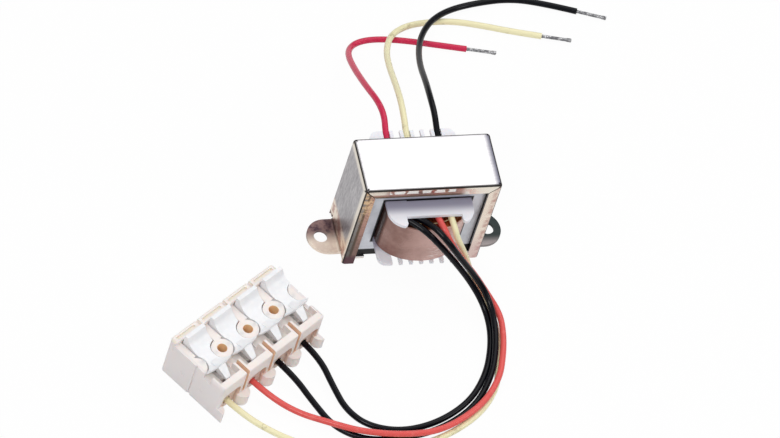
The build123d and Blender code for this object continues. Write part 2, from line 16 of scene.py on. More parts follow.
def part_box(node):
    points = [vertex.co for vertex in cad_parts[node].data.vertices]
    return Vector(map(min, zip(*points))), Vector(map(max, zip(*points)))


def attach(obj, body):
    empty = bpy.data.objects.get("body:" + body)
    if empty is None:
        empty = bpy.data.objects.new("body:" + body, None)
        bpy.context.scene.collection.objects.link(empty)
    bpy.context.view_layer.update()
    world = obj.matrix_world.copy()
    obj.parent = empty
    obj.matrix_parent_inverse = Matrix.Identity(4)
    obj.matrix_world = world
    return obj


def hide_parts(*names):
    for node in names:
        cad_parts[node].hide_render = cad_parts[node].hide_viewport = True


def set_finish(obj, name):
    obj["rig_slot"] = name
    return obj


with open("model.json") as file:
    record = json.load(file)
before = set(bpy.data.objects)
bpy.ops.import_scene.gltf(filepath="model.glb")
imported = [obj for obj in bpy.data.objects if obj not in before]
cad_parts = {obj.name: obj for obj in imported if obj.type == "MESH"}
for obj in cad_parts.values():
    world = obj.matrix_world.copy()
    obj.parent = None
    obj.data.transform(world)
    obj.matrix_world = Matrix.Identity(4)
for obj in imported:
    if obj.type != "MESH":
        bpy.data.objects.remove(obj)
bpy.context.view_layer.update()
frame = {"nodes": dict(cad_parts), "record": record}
nodes = frame["nodes"]
MM = 0.001
BODY = "transformer"
print("solids loaded:", len(nodes))

# %% [markdown]
# ## The camera
# The photograph looks down at the object from the front left, and it was turned a little, so the upright
# edges lean. A camera that is aimed with a Track To constraint can't lean, so its matrix is written out: a
# backward direction from two angles, then a roll about it. The lens is long, because the photograph hardly
# shows any perspective.

# %% Aim the camera
PHOTO_WIDTH = 780
PIXELS_PER_MM = 3.211
CAMERA_DISTANCE = 4000 * MM
VIEW_AZIMUTH = math.radians(-27.0)
VIEW_ELEVATION = math.radians(52.0)
VIEW_ROLL = math.radians(19.1)
CENTRE_RIGHT = -4.14 * MM
CENTRE_UP = 4.67 * MM
SENSOR_WIDTH = 36.0

backward = Vector((
    math.sin(VIEW_AZIMUTH) * math.cos(VIEW_ELEVATION),
    -math.cos(VIEW_AZIMUTH) * math.cos(VIEW_ELEVATION),
    math.sin(VIEW_ELEVATION),
))
level_right = Vector((math.cos(VIEW_AZIMUTH), math.sin(VIEW_AZIMUTH), 0))
level_up = backward.cross(level_right)
right = level_right * math.cos(VIEW_ROLL) + level_up * math.sin(VIEW_ROLL)
up = backward.cross(right)

bpy.ops.object.select_all(action="DESELECT")
bpy.ops.object.camera_add()
camera = bpy.context.active_object
camera.name = "photo_camera"
place = right * CENTRE_RIGHT + up * CENTRE_UP + backward * CAMERA_DISTANCE
camera.matrix_world = Matrix((
    (right.x, up.x, backward.x, place.x),
    (right.y, up.y, backward.y, place.y),
    (right.z, up.z, backward.z, place.z),
    (0, 0, 0, 1),
))
camera.data.sensor_width = SENSOR_WIDTH
camera.data.lens = SENSOR_WIDTH * PIXELS_PER_MM * CAMERA_DISTANCE / MM / PHOTO_WIDTH
bpy.context.scene.camera = camera
print("lens", round(camera.data.lens, 1), "mm")

# %% [markdown]
# ## Small helpers for node trees
# Every finish below is a tree of shader nodes. A few helpers add a node and either set or link each of its
# inputs, so that a tree reads from top to bottom like a recipe. Most of the recipes work with masks, which
# are values from 0 to 1 that say where something is.


# %% Nodes and links
def srgb(red, green, blue):
    """Colour from screen values of 0 to 255, as the linear values that shaders use."""
    def linear(value):
        share = value / 255
        return share / 12.92 if share <= 0.04045 else ((share + 0.055) / 1.055) ** 2.4
    return (linear(red), linear(green), linear(blue), 1.0)


def feed(tree, socket, value):
    """Link a socket to another, or set it to a plain value."""
    if isinstance(value, bpy.types.NodeSocket):
        tree.links.new(value, socket)
    else:
        socket.default_value = value


def add(tree, kind, **inputs):
    """Add a node. Inputs are given by name in lower case, with _ for a space."""
    node = tree.nodes.new(kind)
    for name, value in inputs.items():
        feed(tree, node.inputs[name.replace("_", " ").title()], value)
    return node


def new_finish(name):
    """An empty material with its shader. Returns the material, its tree and the shader."""
    material = bpy.data.materials.new(name)
    material.use_nodes = True
    tree = material.node_tree
    return material, tree, tree.nodes["Principled BSDF"]


print("mid grey is", round(srgb(128, 128, 128)[0], 3), "in linear light")


# %% Masks
def calc(tree, operation, first, second=None):
    """One step of arithmetic."""
    node = tree.nodes.new("ShaderNodeMath")
    node.operation = operation
    feed(tree, node.inputs[0], first)
    if second is not None:
        feed(tree, node.inputs[1], second)
    return node.outputs[0]


def times(tree, *masks):
    """The product of masks, which keeps what all of them keep."""
    result = masks[0]
    for mask in masks[1:]:
        result = calc(tree, "MULTIPLY", result, mask)
    return result


def most(tree, *masks):
    """The greatest of several masks."""
    result = masks[0]
    for mask in masks[1:]:
        result = calc(tree, "MAXIMUM", result, mask)
    return result


def opposite(tree, mask):
    """What a mask leaves out."""
    return calc(tree, "SUBTRACT", 1.0, mask)


def vary(tree, mask, base, amount):
    """A value that starts from a base and gains an amount where a mask is full."""
    return calc(tree, "ADD", times(tree, mask, amount), base)


def ramp(tree, value, low, high):
    """A smooth step from 0 at low to 1 at high. Low may be the larger one: the step then falls."""
    node = tree.nodes.new("ShaderNodeMapRange")
    node.interpolation_type = "SMOOTHSTEP"
    for socket, given in (("Value", value), ("From Min", low), ("From Max", high)):
        feed(tree, node.inputs[socket], given)
    return node.outputs["Result"]


print("mask helpers ready")

# %% Colours and places
# A Mix node has a set of sockets for each kind of data. These are the places of the colour ones.
MIX_FIRST, MIX_SECOND, MIX_RESULT = 6, 7, 2


def mix(tree, share, first, second):
    """Blend two colours by a mask."""
    node = tree.nodes.new("ShaderNodeMix")
    node.data_type = "RGBA"
    feed(tree, node.inputs["Factor"], share)
    feed(tree, node.inputs[MIX_FIRST], first)
    feed(tree, node.inputs[MIX_SECOND], second)
    return node.outputs[MIX_RESULT]


def tint(tree, colour, other, mask, strength=1.0):
    """Turn a colour towards another one where a mask is full, up to a strength."""
    share = mask if strength == 1.0 else times(tree, mask, strength)
    return mix(tree, share, colour, other)


def stretch(tree, vector, scale=(1, 1, 1), turn=0.0, shift=(0, 0, 0)):
    """Move, turn and stretch coordinates before a pattern reads them."""
    node = tree.nodes.new("ShaderNodeMapping")
    node.inputs["Location"].default_value = shift
    node.inputs["Rotation"].default_value = (0, 0, turn)
    node.inputs["Scale"].default_value = scale
    feed(tree, node.inputs["Vector"], vector)
    return node.outputs["Vector"]


def object_place(tree):
    """Coordinates of the object's own frame, in metres."""
    return tree.nodes.new("ShaderNodeTexCoord").outputs["Object"]


def split(tree, vector):
    """The three parts of a vector."""
    return add(tree, "ShaderNodeSeparateXYZ", vector=vector).outputs


print("colour helpers ready")

# %% [markdown]
# ## Effects that finishes share
# Cloudy stains, fine moulded grain and a soft band between two places turn up in several finishes, and the
# painted dark line of a bend, a painted reflection, turns up three times in one of them. Each is a node
# group with named inputs, made once and placed in a material with that material's own values.

# %% Shared effect groups
COARSE_SHARE = 0.12
BEND_FADE = 0.85


def start_group(name, floats=(), vectors=("Vector",), outputs=("Mask",)):
    """A new shader group with its sockets. Returns its tree and its two ends."""
    group = bpy.data.node_groups.new(name, "ShaderNodeTree")
    for socket in vectors:
        group.interface.new_socket(socket, in_out="INPUT", socket_type="NodeSocketVector")
    for socket in floats:
        group.interface.new_socket(socket, in_out="INPUT", socket_type="NodeSocketFloat")
    for socket in outputs:
        group.interface.new_socket(socket, in_out="OUTPUT", socket_type="NodeSocketFloat")
    start = group.nodes.new("NodeGroupInput").outputs
    end = group.nodes.new("NodeGroupOutput").inputs
    return group, start, end


stain_group, given, result = start_group("stain", floats=("Scale", "Low", "High"))
noise = add(
    stain_group, "ShaderNodeTexNoise",
    vector=given["Vector"], scale=given["Scale"], detail=5.0, roughness=0.62,
)
feed(stain_group, result["Mask"], ramp(stain_group, noise.outputs["Fac"], given["Low"], given["High"]))

grain_group, given, result = start_group("moulded_grain", floats=("Scale",), outputs=("Height", "Mask"))
fine = add(grain_group, "ShaderNodeTexNoise", vector=given["Vector"], scale=given["Scale"], detail=3.0)
coarse_scale = times(grain_group, given["Scale"], COARSE_SHARE)
coarse = add(grain_group, "ShaderNodeTexNoise", vector=given["Vector"], scale=coarse_scale, detail=2.0)
feed(grain_group, result["Height"], fine.outputs["Fac"])
feed(grain_group, result["Mask"], coarse.outputs["Fac"])

band_sockets = ("Value", "Start", "End", "Softness")
band_group, given, result = start_group("band", floats=band_sockets, vectors=())
rise_end = calc(band_group, "ADD", given["Start"], given["Softness"])
fall_start = calc(band_group, "SUBTRACT", given["End"], given["Softness"])
rise = ramp(band_group, given["Value"], given["Start"], rise_end)
fall = ramp(band_group, given["Value"], fall_start, given["End"])
feed(band_group, result["Mask"], calc(band_group, "SUBTRACT", rise, fall))

bend_sockets = ("First", "Second", "Reach", "Width")
# A bend line is painted: a dark line that stands in for the reflection along a fold.
bend_group, given, result = start_group("painted_bend_line", floats=bend_sockets, vectors=())
offset = calc(bend_group, "ABSOLUTE", calc(bend_group, "SUBTRACT", given["First"], given["Second"]))
half_line = times(bend_group, given["Width"], 0.5)
middle = opposite(bend_group, ramp(bend_group, offset, half_line, given["Width"]))
farther = most(bend_group, given["First"], given["Second"])
near_reach = times(bend_group, given["Reach"], BEND_FADE)
close = opposite(bend_group, ramp(bend_group, farther, near_reach, given["Reach"]))
feed(bend_group, result["Mask"], times(bend_group, middle, close))

print("shared effects:", [group.name for group in bpy.data.node_groups])


# %% Place an effect
def use(tree, group, output="Mask", **inputs):
    """Place a shared effect in a material and return one of its outputs."""
    node = tree.nodes.new("ShaderNodeGroup")
    node.node_tree = group
    for name, value in inputs.items():
        feed(tree, node.inputs[name.replace("_", " ").title()], value)
    return node.outputs[output]


def bump(tree, shader, height, strength, distance):
    """Raise the surface's shading by a height pattern."""
    node = add(tree, "ShaderNodeBump", height=height, strength=strength, distance=distance)
    feed(tree, shader.inputs["Normal"], node.outputs["Normal"])


print("effects can be placed")

# %% [markdown]
# ## The leads
# The insulation of a flying lead is a limp vinyl tube about two millimetres thick. Each lead leaves the coil
# over the edge of the bobbin, drops to the table and lies there. A NURBS curve is the natural tool: its
# control points pull a smooth line along, as the lead's own stiffness would. The order is set after the
# points are added, because a spline with too few points falls back to straight runs. A curve's box counts
# the radius of its points, so each point has the lead's true radius, and the round section is one such
# radius deep.

# %% Lead routes
LEAD_DIAMETER = 2.0 * MM

# Control points in millimetres, from the coil to the far end
REAR_RED = [
    (-8.3, 11.9, 27.9), (-8.3, 17.6, 29.6), (-7.7, 23.6, 30.8), (-8.0, 30.4, 29.2), (-8.6, 40.3, 23.5),
    (-7.7, 54.0, 14.0), (-5.6, 66.2, 5.0), (-2.3, 72.2, 1.2), (2.1, 74.1, 1.0), (8.3, 74.3, 1.0),
    (16.5, 73.1, 1.0), (25.8, 71.0, 1.0), (34.8, 69.0, 1.0),
]
REAR_YELLOW = [
    (-1.7, 11.9, 27.9), (-1.7, 17.6, 29.7), (-1.6, 23.6, 31.2), (-0.9, 30.8, 29.8), (0.8, 40.6, 24.0),
    (3.0, 52.8, 16.0), (5.8, 63.9, 8.8), (9.9, 72.9, 4.6), (16.2, 78.3, 1.6), (23.1, 80.0, 1.0),
    (32.3, 80.1, 1.0), (42.2, 77.7, 1.0), (51.3, 74.9, 1.0), (60.4, 72.7, 1.0),
]
REAR_BLACK = [
    (8.3, 11.9, 27.9), (8.3, 17.6, 29.8), (8.3, 23.6, 31.6), (8.6, 30.2, 30.4), (10.2, 39.8, 25.5),
    (12.3, 51.2, 18.0), (15.5, 62.3, 11.4), (19.4, 71.2, 7.2), (24.6, 78.2, 4.8), (32.3, 84.0, 1.8),
    (42.1, 86.7, 1.0), (53.3, 87.7, 1.0), (63.9, 85.3, 1.0), (74.0, 81.7, 1.0),
]
FRONT_BLACK_RIGHT = [
    (-9.6, -12.6, 27.9), (-5.9, -15.2, 27.9), (-2.0, -18.9, 27.4), (2.6, -21.6, 23.6), (8.4, -23.0, 16.6),
    (14.2, -25.2, 9.4), (18.6, -29.2, 3.6), (20.2, -36.4, 1.0), (18.6, -45.4, 1.0), (14.8, -55.4, 1.0),
    (7.6, -65.0, 1.0), (-3.9, -72.0, 1.0), (-16.2, -74.6, 1.0), (-26.6, -71.8, 1.0), (-32.2, -65.4, 1.0),
    (-34.6, -57.6, 1.6), (-37.6, -46.8, 3.4), (-42.4, -39.9, 3.4),
]
FRONT_BLACK_LEFT = [
    (-6.4, -12.0, 27.9), (-2.7, -14.5, 27.9), (1.0, -18.6, 28.6), (4.4, -23.0, 26.8), (9.7, -24.5, 19.6),
    (15.2, -25.5, 12.2), (19.8, -28.4, 6.2), (21.4, -35.8, 3.0), (19.9, -45.7, 2.9), (16.6, -56.2, 1.8),
    (9.0, -66.9, 1.0), (-3.2, -74.4, 1.0), (-16.4, -77.4, 1.0), (-28.6, -77.0, 1.0), (-37.4, -71.6, 1.0),
    (-42.4, -62.2, 1.6), (-47.1, -53.4, 3.4), (-51.9, -46.5, 3.4),
]
FRONT_RED = [
    (2.2, -11.4, 27.9), (2.7, -14.8, 27.9), (3.7, -18.2, 27.6), (5.4, -20.9, 25.0), (8.4, -22.0, 20.4),
    (12.2, -22.7, 15.0), (16.4, -23.2, 9.3), (20.3, -26.0, 4.3), (24.1, -33.2, 1.7), (23.2, -41.6, 2.6),
    (21.2, -49.8, 3.2), (18.0, -58.8, 3.4), (10.2, -68.4, 3.3), (-3.8, -76.6, 3.3), (-16.4, -77.4, 3.3),
    (-29.2, -75.4, 3.2), (-39.0, -71.4, 3.2), (-48.2, -65.8, 1.4), (-56.7, -60.0, 3.4), (-61.5, -53.1, 3.4),
]
FRONT_YELLOW = [
    (6.4, -11.6, 27.9), (6.8, -14.6, 27.9), (7.2, -17.8, 27.3), (8.2, -19.9, 24.6), (10.4, -20.3, 20.4),
    (13.2, -20.2, 14.2), (15.6, -21.0, 8.0), (18.0, -24.4, 2.8), (22.1, -32.6, 1.0), (21.6, -41.8, 1.0),
    (19.9, -51.4, 1.0), (17.3, -60.6, 1.0), (10.0, -69.8, 1.0), (-2.8, -77.5, 1.0), (-17.4, -81.4, 1.0),
    (-32.6, -81.8, 1.0), (-47.0, -78.4, 1.0), (-57.4, -72.8, 1.6), (-66.2, -66.6, 3.4), (-71.0, -59.7, 3.4),
]
LEADS = {
    "rear_red": (REAR_RED, "lead_crimson"),
    "rear_yellow": (REAR_YELLOW, "lead_yellow"),
    "rear_black": (REAR_BLACK, "lead_black"),
    "front_yellow": (FRONT_YELLOW, "lead_yellow"),
    "front_red": (FRONT_RED, "lead_coral"),
    "front_black_left": (FRONT_BLACK_LEFT, "lead_black"),
    "front_black_right": (FRONT_BLACK_RIGHT, "lead_black"),
}
print("points on each route:", [len(route) for route, slot in LEADS.values()])


# %% Lay the leads
def lay_lead(name, route, slot):
    """One insulated lead: a NURBS curve with a round section, in place of its plain solid."""
    curve = bpy.data.curves.new(name, "CURVE")
    curve.dimensions = "3D"
    spline = curve.splines.new("NURBS")
    spline.points.add(len(route) - 1)
    for point, (x, y, z) in zip(spline.points, route):
        point.co = (x * MM, y * MM, z * MM, 1)
        point.radius = LEAD_DIAMETER / 2
    spline.order_u = 3
    spline.use_endpoint_u = True
    spline.resolution_u = 8
    curve.bevel_depth = 1.0
    curve.bevel_resolution = 5
    curve.use_fill_caps = True
    lead = bpy.data.objects.new(name, curve)
    bpy.context.scene.collection.objects.link(lead)
    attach(lead, BODY)
    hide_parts(f"{name}_lead")
    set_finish(lead, slot)
    return lead


leads = {name: lay_lead(name, route, slot) for name, (route, slot) in LEADS.items()}
print("leads laid:", list(leads))

# %% [markdown]
# ## Tinned strands
# The back leads are stripped and tinned: a few fine wires twisted together, with the solder holding them and
# the very end slightly splayed. A strand is a thin cylinder cut into short rings, so that a Simple Deform
# modifier can twist it. Six go round a middle one. They are joined, twisted as one and set on the end of
# the lead.

# %% Add a strand
TIP_LENGTH = 9.6 * MM
STRAND_RADIUS = 0.2 * MM
STRAND_SIDES = 10
STRAND_CUTS = 30


def deselect_mesh():
    """Deselect every corner, edge and face of the active mesh."""
    bpy.ops.object.mode_set(mode="EDIT")
    bpy.ops.mesh.select_all(action="DESELECT")
    bpy.ops.object.mode_set(mode="OBJECT")


def add_strand(x, y):
    """One straight strand along z, cut into rings, at a place round the middle."""
    bpy.ops.mesh.primitive_cylinder_add(
        vertices=STRAND_SIDES, radius=STRAND_RADIUS, depth=TIP_LENGTH, location=(x, y, TIP_LENGTH / 2)
    )
    strand = bpy.context.active_object
    deselect_mesh()
    for edge in strand.data.edges:
        ends = [strand.data.vertices[index].co for index in edge.vertices]
        edge.select = abs(ends[0].z - ends[1].z) > TIP_LENGTH / 2
    bpy.ops.object.mode_set(mode="EDIT")
    bpy.ops.mesh.select_mode(type="EDGE")
    bpy.ops.mesh.subdivide(number_cuts=STRAND_CUTS)
    bpy.ops.object.mode_set(mode="OBJECT")
    return strand


print("rings on a strand:", STRAND_CUTS + 1)

# %% Twist the strands
REAR_LEADS = ("rear_red", "rear_yellow", "rear_black")
STRAND_RING = 0.36 * MM
OUTER_STRANDS = 6
STRAND_TURNS = 2.2
SPLAY_START = 0.86
SPLAY = 1.16


def twist_tip(name, route):
    """The tinned end of one lead, in place of its plain solid."""
    bpy.ops.object.select_all(action="DESELECT")
    strands = [add_strand(0, 0)]
    for index in range(OUTER_STRANDS):
        angle = math.tau * index / OUTER_STRANDS
        strands.append(add_strand(STRAND_RING * math.cos(angle), STRAND_RING * math.sin(angle)))
    bpy.ops.object.select_all(action="DESELECT")
    for strand in strands:
        strand.select_set(True)
    bpy.context.view_layer.objects.active = strands[0]
    bpy.ops.object.join()
    tip = bpy.context.active_object
    tip.name = f"{name}_strands"
    bpy.ops.object.transform_apply(location=True, rotation=True, scale=True)

    twist = tip.modifiers.new("twist", "SIMPLE_DEFORM")
    twist.deform_method = "TWIST"
    twist.deform_axis = "Z"
    twist.angle = math.tau * STRAND_TURNS
    bpy.ops.object.modifier_apply(modifier="twist")
    deselect_mesh()
    for vertex in tip.data.vertices:
        vertex.select = vertex.co.z > SPLAY_START * TIP_LENGTH
    bpy.ops.object.mode_set(mode="EDIT")
    bpy.ops.transform.resize(value=(SPLAY, SPLAY, 1), center_override=(0, 0, TIP_LENGTH))
    bpy.ops.object.mode_set(mode="OBJECT")

    heading = (Vector(route[-1]) - Vector(route[-2])).normalized()
    tip.location = Vector(route[-1]) * MM
    tip.rotation_mode = "QUATERNION"
    tip.rotation_quaternion = heading.to_track_quat("Z", "Y")
    bpy.ops.object.transform_apply(location=True, rotation=True, scale=True)
    bpy.ops.object.shade_smooth()
    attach(tip, BODY)
    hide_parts(f"{name}_tip")
    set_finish(tip, "tinned_wire")
    return tip


tips = {name: twist_tip(name, LEADS[name][0]) for name in REAR_LEADS}
print("tips twisted:", len(tips), "with", len(tips["rear_red"].data.polygons), "faces each")

# %% [markdown]


# %% [markdown]
# ## Bright plated sheet
# The channel is cold-rolled steel with a thin bright plating. The top is nearly a mirror. The sides keep the
# drawn grain of the sheet, and the folded lips and ears have the tan and pink bloom that passivated plating
# takes where it was worked. Highlights, reflections and shade on the bends, rims, lips and ears are painted
# into the colour. The metal is one shader: place decides how much grain, bloom and painted light a spot
# gets.
# Each pair of lengths below says where a change starts and where it is complete.

# %% Sheet measures and colours
FRAME_LOW, FRAME_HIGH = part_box("channel_frame")
HALF_WIDTH = 22.1 * MM
HALF_DEPTH = FRAME_HIGH.y
FRAME_TOP = FRAME_HIGH.z
MIDDLE = (-1.0 * MM, 1.0 * MM)
BRIGHT = srgb(244, 242, 243)
SHADOW_BLUE = srgb(74, 74, 94)
STEEL_GREY = srgb(212, 209, 210)
STREAK_DARK = srgb(156, 152, 156)
PAINTED_SHEEN = srgb(254, 246, 232)
BLOOM_AND_SHEEN_CREAM = srgb(252, 238, 222)
BLOOM_GOLD = srgb(232, 196, 156)
BLOOM_TAN = srgb(208, 172, 160)
BLOOM_ROSE = srgb(206, 164, 168)
BLOOM_BROWN = srgb(122, 86, 76)
LIP_GREY = srgb(148, 142, 138)
LIP_OLIVE = srgb(106, 86, 68)
LIP_PINK = srgb(184, 143, 130)
LIP_SHADE = srgb(74, 70, 68)
LIP_END_SHADOW = srgb(96, 66, 72)
EAR_BROWN = srgb(88, 70, 78)
EAR_SHADE = srgb(58, 64, 64)
EAR_LIGHT = srgb(150, 142, 142)
PAINTED_BEND_DARK = srgb(30, 23, 23)
DASH_HIGHLIGHT = srgb(255, 252, 248)
print("frame spans", [round(v / MM, 1) for v in FRAME_HIGH - FRAME_LOW], "mm")

# %% Top and side walls
RIGHT_EDGE = (18.8 * MM, 21.4 * MM)
SIDE_RIM = (2.4 * MM, 0.9 * MM)
BACK_RIM = (7.2 * MM, 9.4 * MM)
DRAWN_STRETCH = (110, 1500, 110)
STREAK_STRETCH = (1700, 1700, 330)
BEND_LIGHT = (3.2 * MM, 1.3 * MM)
FOOT_BLOOM = (9.5 * MM, 7.0 * MM)
EAR_FOLD = (2.3 * MM, 1.8 * MM)


def bright_top(tree, place, x, y, from_side):
    """Mirror-bright, faint drawn streaks, and painted dark reflection by its rims. Returns the streaks too.
    """
    # Painted shade: a dark blue-grey reflection by the right edge and, fainter, by the side and back rims.
    rim = most(tree, ramp(tree, from_side, *SIDE_RIM), ramp(tree, y, *BACK_RIM))
    shade = most(tree, times(tree, ramp(tree, x, *RIGHT_EDGE), 0.9), times(tree, rim, 0.3))
    drawn_place = stretch(tree, place, DRAWN_STRETCH)
    drawn = use(tree, stain_group, vector=drawn_place, scale=1.0, low=0.3, high=0.75)
    streaked = tint(tree, BRIGHT, STEEL_GREY, drawn, strength=0.6)
    return tint(tree, streaked, SHADOW_BLUE, shade), drawn


def side_walls(tree, place, z, below_top, from_front):
    """Streaks up the sheet, painted ivory highlight by bends, tan patches at the foot. Returns the streaks
    too.
    """
    streak_place = stretch(tree, place, STREAK_STRETCH)
    streaks = use(tree, stain_group, vector=streak_place, scale=1.0, low=0.26, high=0.74)
    cloud = use(tree, stain_group, vector=place, scale=150.0, low=0.35, high=0.7)
    wall = mix(tree, streaks, STREAK_DARK, STEEL_GREY)
    wall = tint(tree, wall, STREAK_DARK, cloud, strength=0.4)
    # Painted highlight: an ivory sheen beside the bends.
    bend_highlight = most(tree, ramp(tree, below_top, *BEND_LIGHT), ramp(tree, from_front, *BEND_LIGHT))
    wall = tint(tree, wall, PAINTED_SHEEN, bend_highlight, strength=0.92)
    patches = use(tree, stain_group, vector=place, scale=230.0, low=0.46, high=0.56)
    foot = mix(tree, patches, BLOOM_AND_SHEEN_CREAM, BLOOM_TAN)
    wall = tint(tree, wall, foot, ramp(tree, z, *FOOT_BLOOM))
    # Painted shade: olive at the fold into the ear.
    return tint(tree, wall, LIP_OLIVE, ramp(tree, z, *EAR_FOLD), strength=0.8), streaks


print("light beside a bend reaches", round(BEND_LIGHT[0] / MM, 1), "mm")

# %% Side lips
GREY_STRIP = (1.1 * MM, 1.6 * MM)
OLIVE_STRIP = (1.9 * MM, 2.5 * MM)
TAN_STRIP = (2.8 * MM, 1.4 * MM)
GOLD_HEIGHT = (20.0 * MM, 30.0 * MM)
SHADE_HEIGHT = (22.0 * MM, 6.0 * MM)
LIP_END_HEIGHT = (5.5 * MM, 2.5 * MM)
ROSE_HEIGHT = (16.0 * MM, 4.0 * MM)


def side_lips(tree, x, z, from_side, mottle, specks):
    """Grey, olive and pink strips on the left, painted darker low down; cream, tan and rose on the right."""
    # Painted reflection of the bend: grey, then olive, near the side.
    left = mix(tree, ramp(tree, from_side, *GREY_STRIP), LIP_GREY, LIP_OLIVE)
    left = tint(tree, left, LIP_PINK, ramp(tree, from_side, *OLIVE_STRIP))
    left = tint(tree, left, BLOOM_GOLD, times(tree, mottle, ramp(tree, z, *GOLD_HEIGHT)))
    left = tint(tree, left, BLOOM_BROWN, specks, strength=0.5)
    # Painted shade: the left lip darkens towards the bottom and is darkest at its lower end.
    left = tint(tree, left, LIP_SHADE, ramp(tree, z, *SHADE_HEIGHT), strength=0.55)
    left = tint(tree, left, LIP_END_SHADOW, ramp(tree, z, *LIP_END_HEIGHT))
    right = mix(tree, times(tree, mottle, ramp(tree, from_side, *TAN_STRIP)), BLOOM_AND_SHEEN_CREAM, BLOOM_TAN)
    right = tint(tree, right, BLOOM_ROSE, ramp(tree, z, *ROSE_HEIGHT), strength=0.5)
    return mix(tree, ramp(tree, x, *MIDDLE), left, right)


print("left lip turns pink", round(OLIVE_STRIP[1] / MM, 1), "mm from the side")

# %% Top lip
PINK_STRIP = (2.4 * MM, 3.6 * MM)
DASH_PITCH = 4.35 * MM
DASH_WAVER = 0.7 * MM
DASH_START, DASH_END = 0.04, 0.92
ROW_START, ROW_END = 0.6 * MM, 2.2 * MM
DASHES_FROM, DASHES_TO = -14.4 * MM, 7.3 * MM
LEFT_SHEEN = (DASHES_FROM + 1.0 * MM, DASHES_FROM - 2.0 * MM)
RIGHT_SHEEN = (8.6 * MM, 11.5 * MM)
SHEEN_STRIP = (2.6 * MM, 1.8 * MM)
MITRE = (-0.05 * MM, 0.05 * MM)


def top_lip(tree, x, below_top, mottle, specks):
    """Pink shaded to olive low down, painted highlight dashes and sheen at both ends. Returns the dashes
    too.
    """
    # Painted shade: the lip turns olive towards its lower edge.
    lip = mix(tree, ramp(tree, below_top, *PINK_STRIP), LIP_PINK, LIP_OLIVE)
    lip = tint(tree, lip, BLOOM_BROWN, specks, strength=0.35)
    # Painted highlights: a row of light dashes under the bend, and an ivory sheen at both ends.
    waver = times(tree, calc(tree, "SUBTRACT", mottle, 0.5), DASH_WAVER)
    cycle = calc(tree, "FRACT", calc(tree, "DIVIDE", calc(tree, "ADD", x, waver), DASH_PITCH))
    dash = use(tree, band_group, value=cycle, start=DASH_START, end=DASH_END, softness=0.1)
    row = use(tree, band_group, value=below_top, start=ROW_START, end=ROW_END, softness=0.25 * MM)
    span = use(tree, band_group, value=x, start=DASHES_FROM, end=DASHES_TO, softness=0.5 * MM)
    dashes = times(tree, dash, row, span)
    lip = tint(tree, lip, DASH_HIGHLIGHT, dashes)
    left_end = times(tree, ramp(tree, x, *LEFT_SHEEN), ramp(tree, below_top, *SHEEN_STRIP), 0.8)
    right_end = ramp(tree, x, *RIGHT_SHEEN)
    return tint(tree, lip, PAINTED_SHEEN, most(tree, left_end, right_end)), dashes


def folded_lips(tree, place, x, z, below_top, from_side):
    """Side and top lips, parted by the mitre. Returns colour, mottling and the painted highlight dashes."""
    mottle = use(tree, stain_group, vector=place, scale=480.0, low=0.36, high=0.62)
    specks = use(tree, stain_group, vector=place, scale=900.0, low=0.52, high=0.66)
    sides = side_lips(tree, x, z, from_side, mottle, specks)
    top, dashes = top_lip(tree, x, below_top, mottle, specks)
    on_top_lip = ramp(tree, calc(tree, "SUBTRACT", from_side, below_top), *MITRE)
    return mix(tree, on_top_lip, sides, top), mottle, times(tree, dashes, on_top_lip)


print("dashes along the top lip:", round((DASHES_TO - DASHES_FROM) / DASH_PITCH))

# %% Ears and dark lines
EAR_FRONT = (2.6 * MM, -3.4 * MM)
EAR_SHADOW_FADE = (-6.0 * MM, -2.5 * MM)
EAR_PALENESS = 0.6
OFF_TOP = (1.2 * MM, 1.6 * MM)
ABOVE_TABS = (2.6 * MM, 3.2 * MM)
PAST_BEND = (1.4 * MM, 2.2 * MM)
CUT_START, CUT_END = 0.12 * MM, 1.3 * MM


def turned_ears(tree, x, y, mottle):
    """Left: painted reflection, cream front, brown back. Right: painted grey shade. Returns the pale part
    too.
    """
    # Painted reflection on the left ear, cream in front and brown behind; painted shade on the right ear.
    front_half = ramp(tree, y, *EAR_FRONT)
    left = mix(tree, front_half, EAR_BROWN, BLOOM_AND_SHEEN_CREAM)
    left = tint(tree, left, BLOOM_TAN, mottle, strength=0.3)
    right = mix(tree, ramp(tree, y, *EAR_SHADOW_FADE), EAR_LIGHT, EAR_SHADE)
    on_left = ramp(tree, x, *reversed(MIDDLE))
    return mix(tree, on_left, right, left), times(tree, front_half, on_left, EAR_PALENESS)


def painted_dark_lines(tree, z, below_top, from_side, from_lip):
    """Painted dark lines: reflection along bends, widest between top and lips, shade on the lips' inner cut
    edges.
    """
    lines = use(tree, bend_group, first=below_top, second=from_lip, reach=1.5 * MM, width=0.62 * MM)
    for first, second in ((below_top, from_side), (from_side, from_lip)):
        line = use(tree, bend_group, first=first, second=second, reach=1.4 * MM, width=0.5 * MM)
        lines = most(tree, lines, line)
    cut_edge = use(tree, band_group, value=from_lip, start=CUT_START, end=CUT_END, softness=0.15 * MM)
    off_top = ramp(tree, below_top, *OFF_TOP)
    above_tabs = ramp(tree, z, *ABOVE_TABS)
    return most(tree, lines, times(tree, cut_edge, off_top, above_tabs, ramp(tree, from_side, *PAST_BEND)))


print("cut edges are dark from", round(OFF_TOP[1] / MM, 1), "mm below the top")

# %% Plated sheet finish
LIP_FACE = (0.6 * MM, 0.1 * MM)
SIDE_FACE = (0.7 * MM, 0.1 * MM)
EAR_LEVEL = (2.2 * MM, 1.0 * MM)


